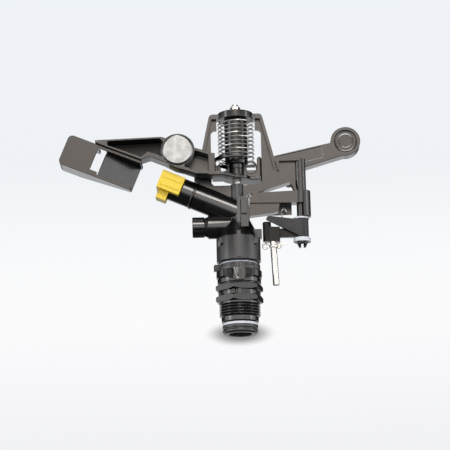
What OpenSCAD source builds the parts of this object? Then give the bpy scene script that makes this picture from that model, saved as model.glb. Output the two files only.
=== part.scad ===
// Part-circle impact sprinkler: a turning body with a range barrel, a spring-loaded drive arm,
// and a trip mechanism that reverses it between two friction collars. Millimetres, +Z up the riser,
// origin on the riser axis at the seating face of the inlet thread's hexagon.

/* [Inlet] */
// Radius over the crests of the inlet thread
thread_r = 13.2; // [12.6:0.1:14.2]
// Pitch of the inlet thread
thread_pitch = 1.814; // [1.4:0.01:2.1]
// Length of the threaded stretch
thread_len = 10.1; // [9:0.1:16]
// Plain lead-in below the thread
lead_len = 2.8; // [1.5:0.1:5]
// Across flats of both hexagons
hex_af = 27.4; // [27:0.1:31]
// Height of the nipple's hexagon
hex_h = 4.3; // [4:0.1:8]
// Ribbed neck between the hexagons
neck_h = 3.1; // [2:0.1:5]
// Height of the bearing nut's hexagon
nut_hex_h = 4.2; // [3:0.1:7]
// Height of the bearing nut's round skirt
nut_ring_h = 4.3; // [3.5:0.1:7]
// Radius of the bearing nut's round skirt
nut_ring_r = 14; // [13.5:0.1:15]

/* [Water way] */
// Radius of the water way through the bearing sleeve
way_r = 7.4; // [6:0.1:7.8]
// Wall of the bearing sleeve
sleeve_wall = 1.3; // [1:0.1:1.6]
// Radius of the flange at the foot of the bearing sleeve
flange_r = 11.35; // [10.6:0.05:11.8]
// Height of the flange at the foot of the bearing sleeve
flange_h = 5.3; // [4:0.1:8]

/* [Collars] */
// Height of each friction collar
collar_h = 4.1; // [3.6:0.1:6]
// Outer radius of the lower collar
lower_collar_r = 14.6; // [13.6:0.1:15.2]
// Outer radius of the upper collar
upper_collar_r = 13.7; // [12.9:0.1:14.5]
// Reach of the collars' trip tabs from the riser axis
tab_reach = 25.4; // [24.6:0.1:27]
// Bearing of the lower collar's trip tab round the riser
lower_tab_deg = 115; // [105:1:130]
// Bearing of the upper collar's trip tab round the riser
upper_tab_deg = 58; // [45:1:65]

/* [Body] */
// Radius of the body's skirt
skirt_r = 14.2; // [13.6:0.1:15]
// Height of the body's skirt
skirt_h = 16.2; // [12:0.1:16.6]
// Height of the body's shoulder above its skirt
shoulder_h = 12.2; // [10:0.2:14]
// Radius of the post under the drive arm
post_r = 4.3; // [3.6:0.1:5]
// Angle of the range barrel above the horizontal
barrel_deg = 23.5; // [18:0.5:27]
// Outer radius of the range barrel
barrel_r = 8.5; // [8:0.1:9.2]
// Length of the range barrel along its axis
barrel_len = 29.8; // [27:0.1:33]
// Length of the nozzle sleeve beyond the barrel
sleeve_nose_len = 16; // [7:0.1:17]
// Radius of the jet from the main nozzle
jet_r = 2.4; // [1.6:0.1:3]
// Radius of the rear port's collar
port_r = 7.7; // [7:0.1:8.2]
// Reach of the rear port's collar from the riser axis
port_reach = 19.2; // [17:0.1:21]
// Radius of the knurled rear plug
plug_r = 6.6; // [6:0.1:7.2]
// Length of the knurled rear plug
plug_len = 8.4; // [7:0.1:11]

/* [Bridge] */
// Half width of the bridge at its top
bridge_top_x = 17.6; // [16.6:0.1:19]
// Depth of the bridge's flanges, front to back
bridge_depth = 8.4; // [7:0.2:8.6]
// Thickness of the bridge's web, front to back
bridge_web = 3; // [2:0.2:4]
// Width of the bridge's flanges as seen from the front
bridge_rim = 2; // [1.6:0.1:2.6]
// Radius of the spring cap
cap_r = 11.7; // [9.5:0.1:12]
// Radius of the fulcrum pin
pin_r = 2.5; // [2:0.1:2.9]

/* [Drive arm] */
// Depth of the drive arm's left half, front to back
arm_depth = 12; // [9:0.2:13]
// Depth of the drive arm's right half, front to back
tail_depth = 10; // [8:0.2:12]
// Thickness of the drive arm's webs and ribs
arm_wall = 2; // [1.6:0.1:2.4]
// Radius of the drive arm's hub flange
hub_r = 9; // [8:0.1:10]
// Radius of the metal weight
weight_r = 10; // [9:0.1:10.5]
// Radius of the round end of the tail
tail_end_r = 9.7; // [9:0.1:11]
// Outer radius of the arm spring
spring_r = 11.9; // [10.8:0.1:12]
// Wire radius of the arm spring
spring_wire_r = 0.5; // [0.4:0.05:0.6]
// Turns of the arm spring
spring_turns = 10.5; // [8:0.5:11]

/* [Trip mechanism] */
// Distance of the trip pin from the riser axis
trip_x = 41.1; // [40.6:0.1:42.6]
// Radius of the trip pin
trip_pin_r = 2.4; // [2:0.1:2.6]
// Radius of the bracket's vertical post
trip_post_r = 3.6; // [3.2:0.1:4.2]
// Radius of the reversing lever's barrel
lever_barrel_r = 4.4; // [4.3:0.1:5]
// Radius of the trip rod
rod_r = 2.05; // [1.6:0.05:2.2]
// Length of the trip rod that hangs below its holder
rod_len = 30.3; // [27:0.1:34]

/* [Fits] */
// Radial running clearance of turning fits
run_gap = 0.08; // [0.05:0.01:0.1]
// Clearance between pieces of different bodies that pass each other
pass_gap = 0.35; // [0.3:0.05:0.5]

/* [Hidden] */
$fn = 64;
eps = 0.01;
hull_fn = 32;

// Heights, from the lowest face of the sleeve's flange up; the origin is the hexagon's seat
thread_drop = thread_len + lead_len + 1.9 + flange_h;
foot_z = -thread_drop;
washer_z = foot_z + flange_h;
washer_h = 1.6;
nipple_z = washer_z + washer_h + 0.3;
hex_z = 0;
neck_z = hex_z + hex_h;
nut_z = neck_z + neck_h;
nut_ring_z = nut_z + nut_hex_h;
nut_top_z = nut_ring_z + nut_ring_h;
lower_collar_z = nut_top_z + pass_gap;
upper_collar_z = lower_collar_z + collar_h + pass_gap;
nipple_top_z = upper_collar_z + collar_h;
spacer_z = nipple_top_z + pass_gap;
spacer_h = 1;
spacer_r = 12;
body_z = spacer_z + spacer_h;
shoulder_z = body_z + skirt_h;
neck_base_z = shoulder_z + shoulder_h;
barrel_z = body_z + 33.3;
column_top_z = barrel_z + 9.4;
post_top_z = barrel_z + 19;

// Radii of the turning bearing
sleeve_r = way_r + sleeve_wall;
nipple_bore_r = sleeve_r + run_gap;
nipple_tube_r = 11.7;
spring_well_r = 10.8;
collar_bore_r = nipple_tube_r + run_gap;
thread_depth = 0.64 * thread_pitch;
hex_corner_r = hex_af / sqrt(3);

// Drive arm levels
hub_z = post_top_z + 3;
hub_flange_h = 2.2;
web_top_z = hub_z + 10.6;
bridge_floor_z = post_top_z - 0.5;
spring_z0 = web_top_z + spring_wire_r;
bridge_top_z = post_top_z + 47;
bar_h = 3.2;
cap_h = 4.5;
cap_z = bridge_top_z + 1.1 - cap_h;
spring_z1 = cap_z - spring_wire_r;
guide_r = 7.4;
core_top_z = cap_z - 0.6;
half_depth = bridge_depth / 2;
arm_back_y = -(half_depth + pass_gap);
arm_front_y = arm_back_y - arm_depth;
tail_front_y = half_depth + pass_gap;
tail_back_y = tail_front_y + tail_depth;
leg_in_x = 16.4;
hub_reach_x = leg_in_x - pass_gap - 0.1;

// Trip mechanism levels
trip_y = -4;
boss_z = barrel_z + 4.6;
post_foot_z = boss_z + 8;
lever_top_z = barrel_z - 6;
lever_h = 12;
lever_foot_z = lever_top_z - lever_h;
thin_washer_h = 1.3;
snap_washer_h = 3;
snap_z = lever_foot_z - snap_washer_h;
eye_h = 5.6;
eye_z = lever_foot_z + 0.4;

// ---------- Helpers ----------

// Extrudes an outline drawn in X and Z from y0 to y1
module front_plate(y0, y1) {
    translate([0, y1, 0]) rotate([90, 0, 0]) linear_extrude(y1 - y0) children();
}

// Turned solid between two heights
module disc(r, z0, z1) {
    translate([0, 0, z0]) cylinder(r = r, h = z1 - z0);
}

module tube(r_out, r_in, z0, z1) {
    difference() {
        disc(r_out, z0, z1);
        disc(r_in, z0 - 1, z1 + 1);
    }
}

// Hexagon whose corners are chamfered at both faces
module hexagon(z0, z1) {
    flat_r = hex_af / 2 + 0.3;
    chamfer = 1;
    intersection() {
        translate([0, 0, z0]) rotate(15) cylinder(r = hex_corner_r, h = z1 - z0, $fn = 6);
        rotate_extrude() polygon([
            [0, z0], [flat_r, z0], [hex_corner_r + 0.1, z0 + chamfer],
            [hex_corner_r + 0.1, z1 - chamfer], [flat_r, z1], [0, z1]
        ]);
    }
}

// Places what is drawn along +Z on the range barrel's axis
module on_barrel() {
    translate([0, 0, barrel_z]) rotate([0, barrel_deg - 90, 0]) children();
}

// Places what is drawn along +Z on the rear port's axis, pointing to -X
module on_port() {
    translate([0, 0, port_z]) rotate([0, -90, 0]) children();
}
port_z = barrel_z - 8.8;

module at_trip() {
    translate([trip_x, trip_y, 0]) children();
}

// Sector of a ring between two bearings, made by cutting with a wedge
module ring_sector(r_out, r_in, z0, z1, from_deg, to_deg) {
    reach = 2 * r_out;
    mid_deg = (from_deg + to_deg) / 2;
    intersection() {
        tube(r_out, r_in, z0, z1);
        translate([0, 0, z0 - 1]) linear_extrude(z1 - z0 + 2)
            polygon([
                [0, 0],
                [reach * cos(from_deg), reach * sin(from_deg)],
                [reach * 1.5 * cos(mid_deg), reach * 1.5 * sin(mid_deg)],
                [reach * cos(to_deg), reach * sin(to_deg)]
            ]);
    }
}

// Round wire swept along points that lie round the Z axis
function unit(v) = v / norm(v);
function wire_ring(p, dir, r, sides) =
    let (side = unit(cross(dir, [0, 0, 1])), up = cross(side, dir))
    [for (k = [0 : sides - 1]) p + r * (cos(360 * k / sides) * side + sin(360 * k / sides) * up)];

module wire(path, r, sides = 8) {
    n = len(path);
    rings = [for (i = [0 : n - 1])
        wire_ring(path[i], unit(path[min(i + 1, n - 1)] - path[max(i - 1, 0)]), r, sides)];
    points = [for (ring = rings, p = ring) p];
    walls = [for (i = [0 : n - 2], k = [0 : sides - 1])
        let (j = (k + 1) % sides)
        [i * sides + k, i * sides + j, (i + 1) * sides + j, (i + 1) * sides + k]];
    foot = [for (k = [0 : sides - 1]) sides - 1 - k];
    head = [for (k = [0 : sides - 1]) (n - 1) * sides + k];
    polyhedron(points, concat(walls, [foot], [head]), convexity = 10);
}

function helix(r, z0, z1, turns, steps, start = 0) =
    [for (i = [0 : steps * turns])
        let (a = start + 360 * i / steps)
        [r * cos(a), r * sin(a), z0 + (z1 - z0) * i / (steps * turns)]];

// ---------- Inlet ----------

// Half outline of the thread: one trapezium ridge for each pitch
function ridge(i, z0) = let (z = z0 + i * thread_pitch, core = thread_r - thread_depth) [
    [core, z],
    [thread_r, z + 0.34 * thread_pitch],
    [thread_r, z + 0.62 * thread_pitch],
    [core, z + 0.96 * thread_pitch]
];

// The uppermost ridge runs out into the hexagon at full height
function run_out(z0, ridges) = [for (i = [0 : ridges - 1], p = ridge(i, z0))
    if (i < ridges - 1 || p[1] < z0 + (i + 0.7) * thread_pitch) p];

module inlet_nipple() {
    ridges = floor(thread_len / thread_pitch);
    ridge_z = -ridges * thread_pitch;
    core = thread_r - thread_depth;
    color("#1d1c1c") difference() {
        union() {
            rotate_extrude() polygon(concat(
                [[0, nipple_z], [thread_r - 1.9, nipple_z], [thread_r - 1.3, nipple_z + 0.6]],
                [[thread_r - 1.3, ridge_z - 0.3], [core, ridge_z - 0.3]],
                run_out(ridge_z, ridges),
                [[thread_r, hex_z], [0, hex_z]]
            ));
            hexagon(hex_z, neck_z);
            disc(12.7, neck_z, nut_z);
            // Lugs across the neck
            for (a = [-107, -90, 13, 73, 90, 193])
                rotate(a) translate([12, -1.1, neck_z]) cube([1.7, 2.2, neck_h]);
            disc(nipple_tube_r, nut_z - 1, nipple_top_z);
        }
        disc(nipple_bore_r, nipple_z - 1, nut_z + 1);
        disc(spring_well_r, nut_z, nipple_top_z + 1);
    }
}

module bearing_nut() {
    color("#242324") difference() {
        union() {
            hexagon(nut_z, nut_ring_z);
            rotate_extrude() polygon([
                [0, nut_ring_z - 0.8], [nut_ring_r - 1, nut_ring_z - 0.8],
                [nut_ring_r - 1, nut_ring_z + 0.9], [nut_ring_r, nut_ring_z + 0.9],
                [nut_ring_r, nut_top_z - 0.5], [nut_ring_r - 0.5, nut_top_z], [0, nut_top_z]
            ]);
        }
        disc(nipple_tube_r, nut_z - 1, nut_top_z + 1);
    }
}

module bearing_seal() {
    color("#101010") tube(spring_well_r, sleeve_r + run_gap, nut_z, nut_z + 1.6);
}

module bearing_spring() {
    mean_r = (spring_well_r + sleeve_r) / 2;
    wire_r = (spring_well_r - sleeve_r) / 2 - 0.45;
    color("silver") wire(helix(mean_r, nut_z + 1.6 + wire_r, spacer_z - wire_r, 5, 24), wire_r, 6);
}

// ---------- Friction collars ----------

module trip_tab(z0, h, bearing) {
    rotate(bearing) translate([nipple_tube_r + 0.7, -1.8, z0]) cube([tab_reach - nipple_tube_r - 0.7, 3.6, h]);
}

module lower_collar() {
    z0 = lower_collar_z;
    z1 = z0 + collar_h;
    apron_r = lower_collar_r + 0.6;
    prow = 3.9;
    color("#2a292a") difference() {
        union() {
            tube(12.8, collar_bore_r, z0, z1);
            ring_sector(lower_collar_r, 12.4, z0, z1, -45, 28);
            ring_sector(lower_collar_r, 12.4, z0, z1, 150, 228);
            // Front apron, whose lower edge runs down to a prow
            ring_sector(apron_r, 12.4, z0, z1, 228, 315);
            difference() {
                ring_sector(apron_r, nut_ring_r + pass_gap, z0 - prow, z0 + 1, 228, 315);
                front_plate(-apron_r - 1, 0) polygon([
                    [-apron_r, z0 - prow - 1], [-2, z0 - prow - 1], [-2, z0 - prow + 0.7],
                    [-10.6, z0], [-apron_r, z0]
                ]);
                front_plate(-apron_r - 1, 0) polygon([
                    [apron_r, z0 - prow - 1], [2, z0 - prow - 1], [2, z0 - prow + 0.7],
                    [10.6, z0], [apron_r, z0]
                ]);
            }
            // Paddle with its half-round rib
            front_plate(-16.6, -14.4) polygon([
                [-3, z0 - prow + 0.6], [-1.6, z0 - prow], [1.6, z0 - prow], [3, z0 - prow + 0.6],
                [3.4, z1], [-3.8, z1]
            ]);
            translate([0.6, -16.5, z0 - prow]) cylinder(r = 1.1, h = collar_h + prow - 0.4);
            trip_tab(z0, collar_h, lower_tab_deg);
        }
        // Shallow pockets on both sides of the paddle
        front_plate(-apron_r - 1, -12.9) polygon([
            [-9.8, z0 + 0.6], [-4.6, z0 + 0.2], [-4.6, z1 + 1], [-9.8, z1 + 1]
        ]);
        front_plate(-apron_r - 1, -12.9) polygon([
            [9.8, z0 + 0.6], [4.2, z0 + 0.2], [4.2, z1 + 1], [9.8, z1 + 1]
        ]);
    }
}

module upper_collar() {
    z0 = upper_collar_z;
    z1 = z0 + collar_h;
    color("#2f2e2f") difference() {
        union() {
            difference() {
                tube(upper_collar_r, collar_bore_r, z0, z1);
                ring_sector(upper_collar_r + 1, 12.6, z0 + 2.3, z1 + 1, 186, 336);
            }
            ring_sector(16.2, 12.2, z0, z1, 183, 199);
            ring_sector(upper_collar_r + 0.8, 12.2, z0, z1 - 0.6, 314, 338);
            trip_tab(z0, collar_h, upper_tab_deg);
        }
        rotate(-90) translate([11, -0.4, z0 - 1]) cube([4, 0.8, collar_h + 2]);
    }
}

// ---------- Turning bearing ----------

module bearing_sleeve() {
    step = 0.45;
    top_z = body_z + 4;
    color("#1b1a1a") rotate_extrude() polygon([
        [way_r, foot_z + 0.5], [way_r + 0.5, foot_z], [flange_r - 1, foot_z],
        [flange_r, foot_z + 1], [flange_r, foot_z + 2.2],
        [flange_r - step, foot_z + 2.5], [flange_r - step, foot_z + 3.2],
        [flange_r, foot_z + 3.5], [flange_r, washer_z],
        [sleeve_r, washer_z], [sleeve_r, top_z], [way_r, top_z]
    ]);
}

module foot_washer() {
    color("#e9eef6") tube(flange_r + 0.1, sleeve_r, washer_z, washer_z + washer_h);
}

module spacer_ring() {
    color("#e9eef6") tube(spacer_r, sleeve_r, spacer_z, body_z);
}

// ---------- Body ----------

// Ribs, saddle and blocks on the outside of the body
// Plate whose front leans back above the skirt's shoulder
module leaning_plate(front_y) {
    translate([0, front_y, shoulder_z]) rotate([-20, 0, 0]) translate([0, 0, -shoulder_z])
        front_plate(0, 7) children();
}

module body_dressing() {
    front_plate(-skirt_r - 0.7, -skirt_r + 2) translate([-0.9, body_z + 1.6])
        square([2.4, skirt_h + 1]);
    // Ridge and face down the front of the neck, the slab at their right and the block below
    front_plate(-9, 0) translate([-0.3, port_z]) square([2, column_top_z - port_z]);
    front_plate(-8, 0) translate([2.2, barrel_z - 1.6]) square([3.6, column_top_z - barrel_z + 1.6]);
    front_plate(-5, 2) polygon([
        [0, port_z - 2], [bracket_x, port_z + 3], [bracket_x, barrel_z], [7.2, column_top_z],
        [0, column_top_z]
    ]);
    front_plate(-11, 0) translate([2, barrel_z - 11.2]) square([4.8, 7.7]);
    disc(5.2, column_top_z - 1, column_top_z);
    // Gussets from the rear port and the neck down to the skirt
    leaning_plate(-8.8) polygon([
        [-4.2, port_z - 2], [-5.7, port_z], [-11.5, port_z - 9.1], [-13.4, port_z - 12.1],
        [-11.6, port_z - 14.1], [-9.5, port_z - 11.6], [-7.6, port_z - 7.6]
    ]);
    leaning_plate(-8.8) polygon([
        [5, port_z - 2], [7.3, port_z], [11.3, port_z - 7], [13, port_z - 11],
        [11.6, port_z - 14], [8.2, port_z - 14]
    ]);
    // Stop of the trip lever
    front_plate(trip_y - 2.8, trip_y + 2.8) translate([6, eye_z - 0.2]) square([stop_x - 6, eye_h]);
}
stop_x = trip_x - 25.9;

module main_body() {
    bore_len = barrel_len + 1;
    color("#3b3b3d") difference() {
        union() {
            rotate_extrude() polygon([
                [0, body_z], [skirt_r - 0.8, body_z], [skirt_r, body_z + 0.8],
                [skirt_r, shoulder_z], [7.8, neck_base_z], [7.2, barrel_z + 4],
                [post_r + 0.5, column_top_z], [0, column_top_z]
            ]);
            disc(post_r, column_top_z - 1, post_top_z);
            on_barrel() disc(barrel_r, 0, barrel_len);
            on_port() disc(port_r, 0, port_reach);
            on_port() disc(port_r - 0.7, port_reach - 0.2, port_reach + 0.5);
            body_dressing();
        }
        disc(sleeve_r, body_z - 1, body_z + 4);
        disc(way_r, body_z, barrel_z);
        on_barrel() disc(way_r - 1, 0, bore_len);
        on_port() disc(plug_stem_r, 0, port_reach + 2);
        disc(pin_r, column_top_z - 2, post_top_z + 1);
    }
}
plug_stem_r = 4.6;

module nozzle_sleeve() {
    end = barrel_len + sleeve_nose_len;
    color("#201f1f") on_barrel() difference() {
        union() {
            disc(barrel_r, barrel_len + 0.3, end);
            disc(way_r - 1, barrel_len - 12, barrel_len + 1);
            disc(barrel_r + 0.5, barrel_len + 0.3, barrel_len + 1.5);
        }
        disc(nozzle_stem_r, barrel_len - 2, end + 1);
        disc(5.2, barrel_len - 13, end + 1);
        // Flat seat of the nozzle's front block
        translate([-block_down - 0.1, -20, end - block_back]) cube([block_down + block_up + 0.2, 14.5, 30]);
    }
}
nozzle_stem_r = 5.3;
block_back = 7;
block_up = 6.8;
block_down = 5.4;

// Main nozzle: a stem in the sleeve, a block over the sleeve's front, a mouth and a tab to turn it by
module main_nozzle() {
    seat = barrel_len + sleeve_nose_len;
    mouth = seat + 8.8;
    color("#f6ce2a") on_barrel() difference() {
        union() {
            disc(nozzle_stem_r - 0.02, barrel_len - 2, seat + 1);
            translate([-block_down, -10.6, seat + 0.3 - block_back])
                cube([block_up + block_down, 5.1, mouth - seat - 0.3 + block_back]);
            translate([-block_down, -5.6, seat + 0.3])
                cube([block_up + block_down, 13.4, mouth - seat - 0.3]);
            translate([-11.1, -6, seat + 0.3]) cube([5.8, 9, 6.8]);
            // Raised bars across the block
            for (i = [0 : 1])
                translate([-block_down + 2.4 + i * 5, -11, seat + 1.5 - block_back])
                    cube([2.4, 1, mouth - seat - 3 + block_back]);
        }
        disc(jet_r, barrel_len + 4, mouth + 2);
        translate([0, 0, mouth - 7]) cylinder(r1 = jet_r, r2 = 5, h = 8);
        translate([0, 0, barrel_len - 2.1]) cylinder(r1 = 4.4, r2 = jet_r, h = 8);
    }
}

module stream_vane() {
    color("#d8d8d4") on_barrel() translate([0, 0, barrel_len - 12]) difference() {
        union() {
            for (a = [0, 60, 120])
                rotate(a) translate([-5.1, -0.4, 0]) cube([10.2, 0.8, 9]);
            disc(1.9, 0, 9);
        }
        disc(1.2, -1, 10);
    }
}

module rear_plug() {
    grooves = 12;
    head_z = port_reach + 1.8;
    color("#141414") on_port() difference() {
        union() {
            disc(plug_stem_r, port_reach - 10, head_z + 1);
            disc(plug_r - 0.7, head_z, head_z + 1);
            disc(plug_r, head_z + 0.6, head_z + plug_len);
        }
        for (i = [0 : grooves - 1])
            rotate(i * 360 / grooves) translate([plug_r - 0.8, -0.5, head_z + 1.4])
                cube([2, 1, plug_len - 2]);
        disc(2.6, head_z + plug_len - 2, head_z + plug_len + 1);
    }
}

module plug_seal() {
    color("#0c0c0c") on_port() tube(plug_r - 0.2, plug_stem_r, port_reach + 0.5, port_reach + 1.8);
}

// ---------- Bridge ----------

// Reach of the bridge's left foot, which stands on the barrel behind its nozzle sleeve
root_x = barrel_len - 2.2;
bracket_x = 7.75;

module bridge_outline() {
    polygon([
        [-bridge_top_x, bridge_top_z - 2.4], [-bridge_top_x + 0.7, bridge_top_z - 0.7],
        [-bridge_top_x + 2.4, bridge_top_z], [bridge_top_x - 2.4, bridge_top_z],
        [bridge_top_x - 0.7, bridge_top_z - 0.7], [bridge_top_x, bridge_top_z - 2.4],
        [23.4, hub_z + 19], [26.6, hub_z + 4.6], [6.4, column_top_z + 1.6], [3, column_top_z - 1],
        [-6, column_top_z - 4], [-root_x, barrel_z + 17.4], [-root_x, barrel_z + 26], [-24.6, hub_z + 9]
    ]);
}

module bridge_opening() {
    polygon([
        [-leg_in_x, bridge_floor_z + 1.6], [-leg_in_x + 1.6, bridge_floor_z],
        [leg_in_x - 1.6, bridge_floor_z], [leg_in_x, bridge_floor_z + 1.6],
        [leg_in_x, spring_z1 - 8], [leg_in_x - 1.4, spring_z1 - 6.4], [spring_r + 0.6, spring_z1 - 6.2],
        [spring_r + 0.6, cap_z + 0.3], [-spring_r - 0.6, cap_z + 0.3],
        [-spring_r - 0.6, spring_z1 - 6.2], [-leg_in_x + 1.4, spring_z1 - 6.4],
        [-leg_in_x, spring_z1 - 8]
    ]);
}

module bridge_frame() {
    color("#353231") difference() {
        union() {
            // Flanges: a rim along the outline
            difference() {
                front_plate(-half_depth, half_depth) bridge_outline();
                front_plate(-half_depth - 1, half_depth + 1) polygon([
                    [-bridge_top_x + bridge_rim, bridge_top_z - 2.6],
                    [bridge_top_x - bridge_rim, bridge_top_z - 2.6],
                    [23.4 - bridge_rim, hub_z + 18.6], [26.4 - bridge_rim, hub_z + 5.6],
                    [6.6, column_top_z + 4], [4, column_top_z + 1.4], [-6.6, column_top_z - 1.4],
                    [-root_x + bridge_rim, barrel_z + 20], [-root_x + bridge_rim, barrel_z + 25.4],
                    [-24.6 + bridge_rim, hub_z + 8.6]
                ]);
                on_barrel() disc(barrel_r + 0.9, 0, barrel_len + 2);
            }
            front_plate(-bridge_web / 2, bridge_web / 2) bridge_outline();
            translate([0, 0, bridge_top_z - bar_h]) linear_extrude(bar_h - 0.1)
                square([2 * bridge_top_x - 3, 2 * half_depth], center = true);
            // Saddle behind the post that joins both feet
            front_plate(1, post_r + 1.6) translate([-8, column_top_z + 1.8])
                square([16, bridge_floor_z - column_top_z - 1.8]);
        }
        front_plate(-9, 9) bridge_opening();
        // Room for the post, the body's column and barrel, and the cap
        disc(post_r, column_top_z - 5, post_top_z + 1);
        disc(7.9, barrel_z, column_top_z);
        on_barrel() disc(barrel_r, 0, barrel_len);
        on_barrel() disc(barrel_r + 0.5, barrel_len, barrel_len + 4);
        front_plate(-9, 9) translate([-4.4, barrel_z]) square([12, column_top_z + 0.6 - barrel_z]);
        disc(cap_r, cap_z, bridge_top_z + 2);
        disc(pin_r, cap_z - 9, bridge_top_z + 2);
    }
}

module spring_cap() {
    lip = 0.4;
    color("#3f3d3d") difference() {
        union() {
            rotate_extrude() polygon([
                [pin_r, cap_z], [cap_r, cap_z], [cap_r, cap_z + cap_h - lip],
                [cap_r - lip, cap_z + cap_h], [pin_r, cap_z + cap_h]
            ]);
            translate([-1, -cap_r - 0.4, cap_z]) cube([2, cap_r - pin_r, cap_h + 0.3]);
        }
        disc(pin_r, cap_z - 1, cap_z + cap_h + 2);
    }
}

module fulcrum_pin() {
    color("#d9d6cf") union() {
        disc(pin_r, column_top_z - 2, cap_z + cap_h + 1.6);
        disc(1.6, cap_z + cap_h + 1, cap_z + cap_h + 6.5);
    }
}

module pin_nut() {
    z0 = cap_z + cap_h + 1.6;
    color("#d9d6cf") difference() {
        union() {
            translate([0, 0, z0 - 0.3]) cylinder(r = 3.4, h = 3.1, $fn = 6);
            disc(3.9, z0 - 1.2, z0 - 0.2);
            disc(2.3, z0 + 2.7, z0 + 4);
        }
        disc(1.6, z0 - 1, z0 + 5);
        disc(pin_r, z0 - 2, z0);
    }
}

// ---------- Trip bracket and pin ----------

module trip_bracket() {
    back_y = trip_y + 4;
    front_y = trip_y - 4;
    top_z = hub_z + 12.2;
    color("#34312f") difference() {
        union() {
            // Web, from the bridge's right foot to the vertical post
            front_plate(trip_y - 1.6, trip_y + 1.2) polygon([
                [26, top_z], [trip_x, top_z], [trip_x, post_foot_z], [37, post_foot_z],
                [34.6, hub_z - 3.4], [13, column_top_z + 2.6], [7.4, column_top_z + 1.8],
                [24.9, hub_z + 4.6]
            ]);
            // Flanges along the web's upper and lower edges
            front_plate(front_y, back_y) polygon([
                [25, top_z], [trip_x, top_z], [trip_x, top_z - 1.6], [27.4, top_z - 1.6],
                [27.2, hub_z + 4.6], [25.4, hub_z + 4.6]
            ]);
            front_plate(front_y, back_y) polygon([
                [37, post_foot_z], [38.6, post_foot_z], [35.8, hub_z - 1.8], [33, hub_z - 2.4],
                [13, column_top_z + 3.9], [9, column_top_z + 1.4], [13, column_top_z + 2.3],
                [34.6, hub_z - 3.6]
            ]);
            at_trip() disc(trip_post_r, post_foot_z - 1, top_z);
            at_trip() disc(4.7, boss_z, post_foot_z);
            // Lower arm, from the body's neck to the boss
            front_plate(front_y, back_y) polygon([
                [bracket_x, boss_z + 0.4], [trip_x - 2, boss_z], [trip_x - 2, post_foot_z],
                [11, post_foot_z - 1], [bracket_x, post_foot_z - 4]
            ]);
            front_plate(front_y + 1.4, back_y) polygon([
                [bracket_x, boss_z - 8], [22.2, boss_z - 6.4], [26.2, boss_z - 5.4], [27.4, boss_z + 1],
                [bracket_x, boss_z + 1]
            ]);
            // Back wall of the toggle spring's room
            front_plate(back_y - 1, 4.4) polygon([
                [bracket_x, boss_z], [35.2, boss_z], [35.2, boss_z + 1.2], [bracket_x, boss_z + 1.2]
            ]);
            front_plate(3, 4.4) polygon([
                [bracket_x, boss_z - 6], [35.2, boss_z - 5.4], [35.2, boss_z + 1.2], [bracket_x, boss_z + 1.2]
            ]);
            // Curved shroud outside the pin
            at_trip() ring_sector(6.2, 5.3, lever_top_z + thin_washer_h + 0.4, post_foot_z, -76, 62);
            at_trip() ring_sector(6.2, 4, boss_z + 1, post_foot_z, -76, 62);
        }
        at_trip() disc(trip_pin_r, boss_z - 1, boss_z + 6);
        // Seat on the bridge's right leg
        front_plate(-9, half_depth) bridge_outline();
    }
}

// Trip pin with a split snap end
module trip_pin() {
    tip_z = snap_z - 3.6;
    color("#2b2a2a") at_trip() difference() {
        union() {
            disc(trip_pin_r, snap_z - 1, boss_z + 6);
            rotate_extrude() polygon([
                [0, tip_z], [2.2, tip_z], [3.4, snap_z - 0.9], [3.4, snap_z], [0, snap_z]
            ]);
        }
        translate([-0.85, -5, tip_z - 1]) cube([1.7, 10, 8]);
    }
}

module upper_lever_washer() {
    color("#e9eef6") at_trip() tube(5, trip_pin_r, lever_top_z + 0.1, lever_top_z + thin_washer_h);
}

module lower_lever_washer() {
    color("#e9eef6") at_trip()
        tube(5.6, trip_pin_r, snap_z, snap_z + snap_washer_h - pass_gap);
}

// ---------- Drive arm ----------

// Levels of the arm are measured from the hub's lower flange
function arm(points) = [for (p = points) [p[0], hub_z + p[1]]];

weight_at = [-37.9, hub_z + 17];
tail_end = [71.9, hub_z + 26.4];

module left_half_outline() {
    union() {
        polygon(arm([
            [-91, 25], [-48.4, 26.3], [-44.1, 24.8], [-31, 19.7], [-16.2, 15.2],
            [-16.2, 0.5], [-26.2, 1], [-33.6, 3.7], [-39.4, 5.4], [-46.4, 9.2], [-55.6, 13],
            [-60.8, 11.4], [-62.4, spoon_h - 9.8], [-91, spoon_h + 1.2]
        ]));
        translate(weight_at) circle(r = weight_r + 1);
    }
}

module left_pockets() {
    difference() {
        union() {
            polygon(arm([
                [-83, 23.8], [-49.4, 24.9], [-46.6, 22.6], [-48.6, 17], [-47.6, 12.6],
                [-50.6, 14.2], [-57, 16.6], [-59.6, 15], [-61.6, 13.2], [-83, 21.4]
            ]));
            polygon(arm([[-33, 18.4], [-18.2, 13.6], [-18.2, 2.6], [-26, 3], [-33.4, 6]]));
        }
        translate(weight_at) circle(r = weight_r + 1);
    }
}

// Spoon: a tilted box with a plain face, a window and a panel that leans back to the right
spoon_deg = 22.4;
spoon_len = 50.4;
spoon_h = 20.8;
module on_spoon() {
    translate([-115.4, 0, hub_z + 10.8]) rotate([0, spoon_deg, 0]) children();
}

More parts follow.
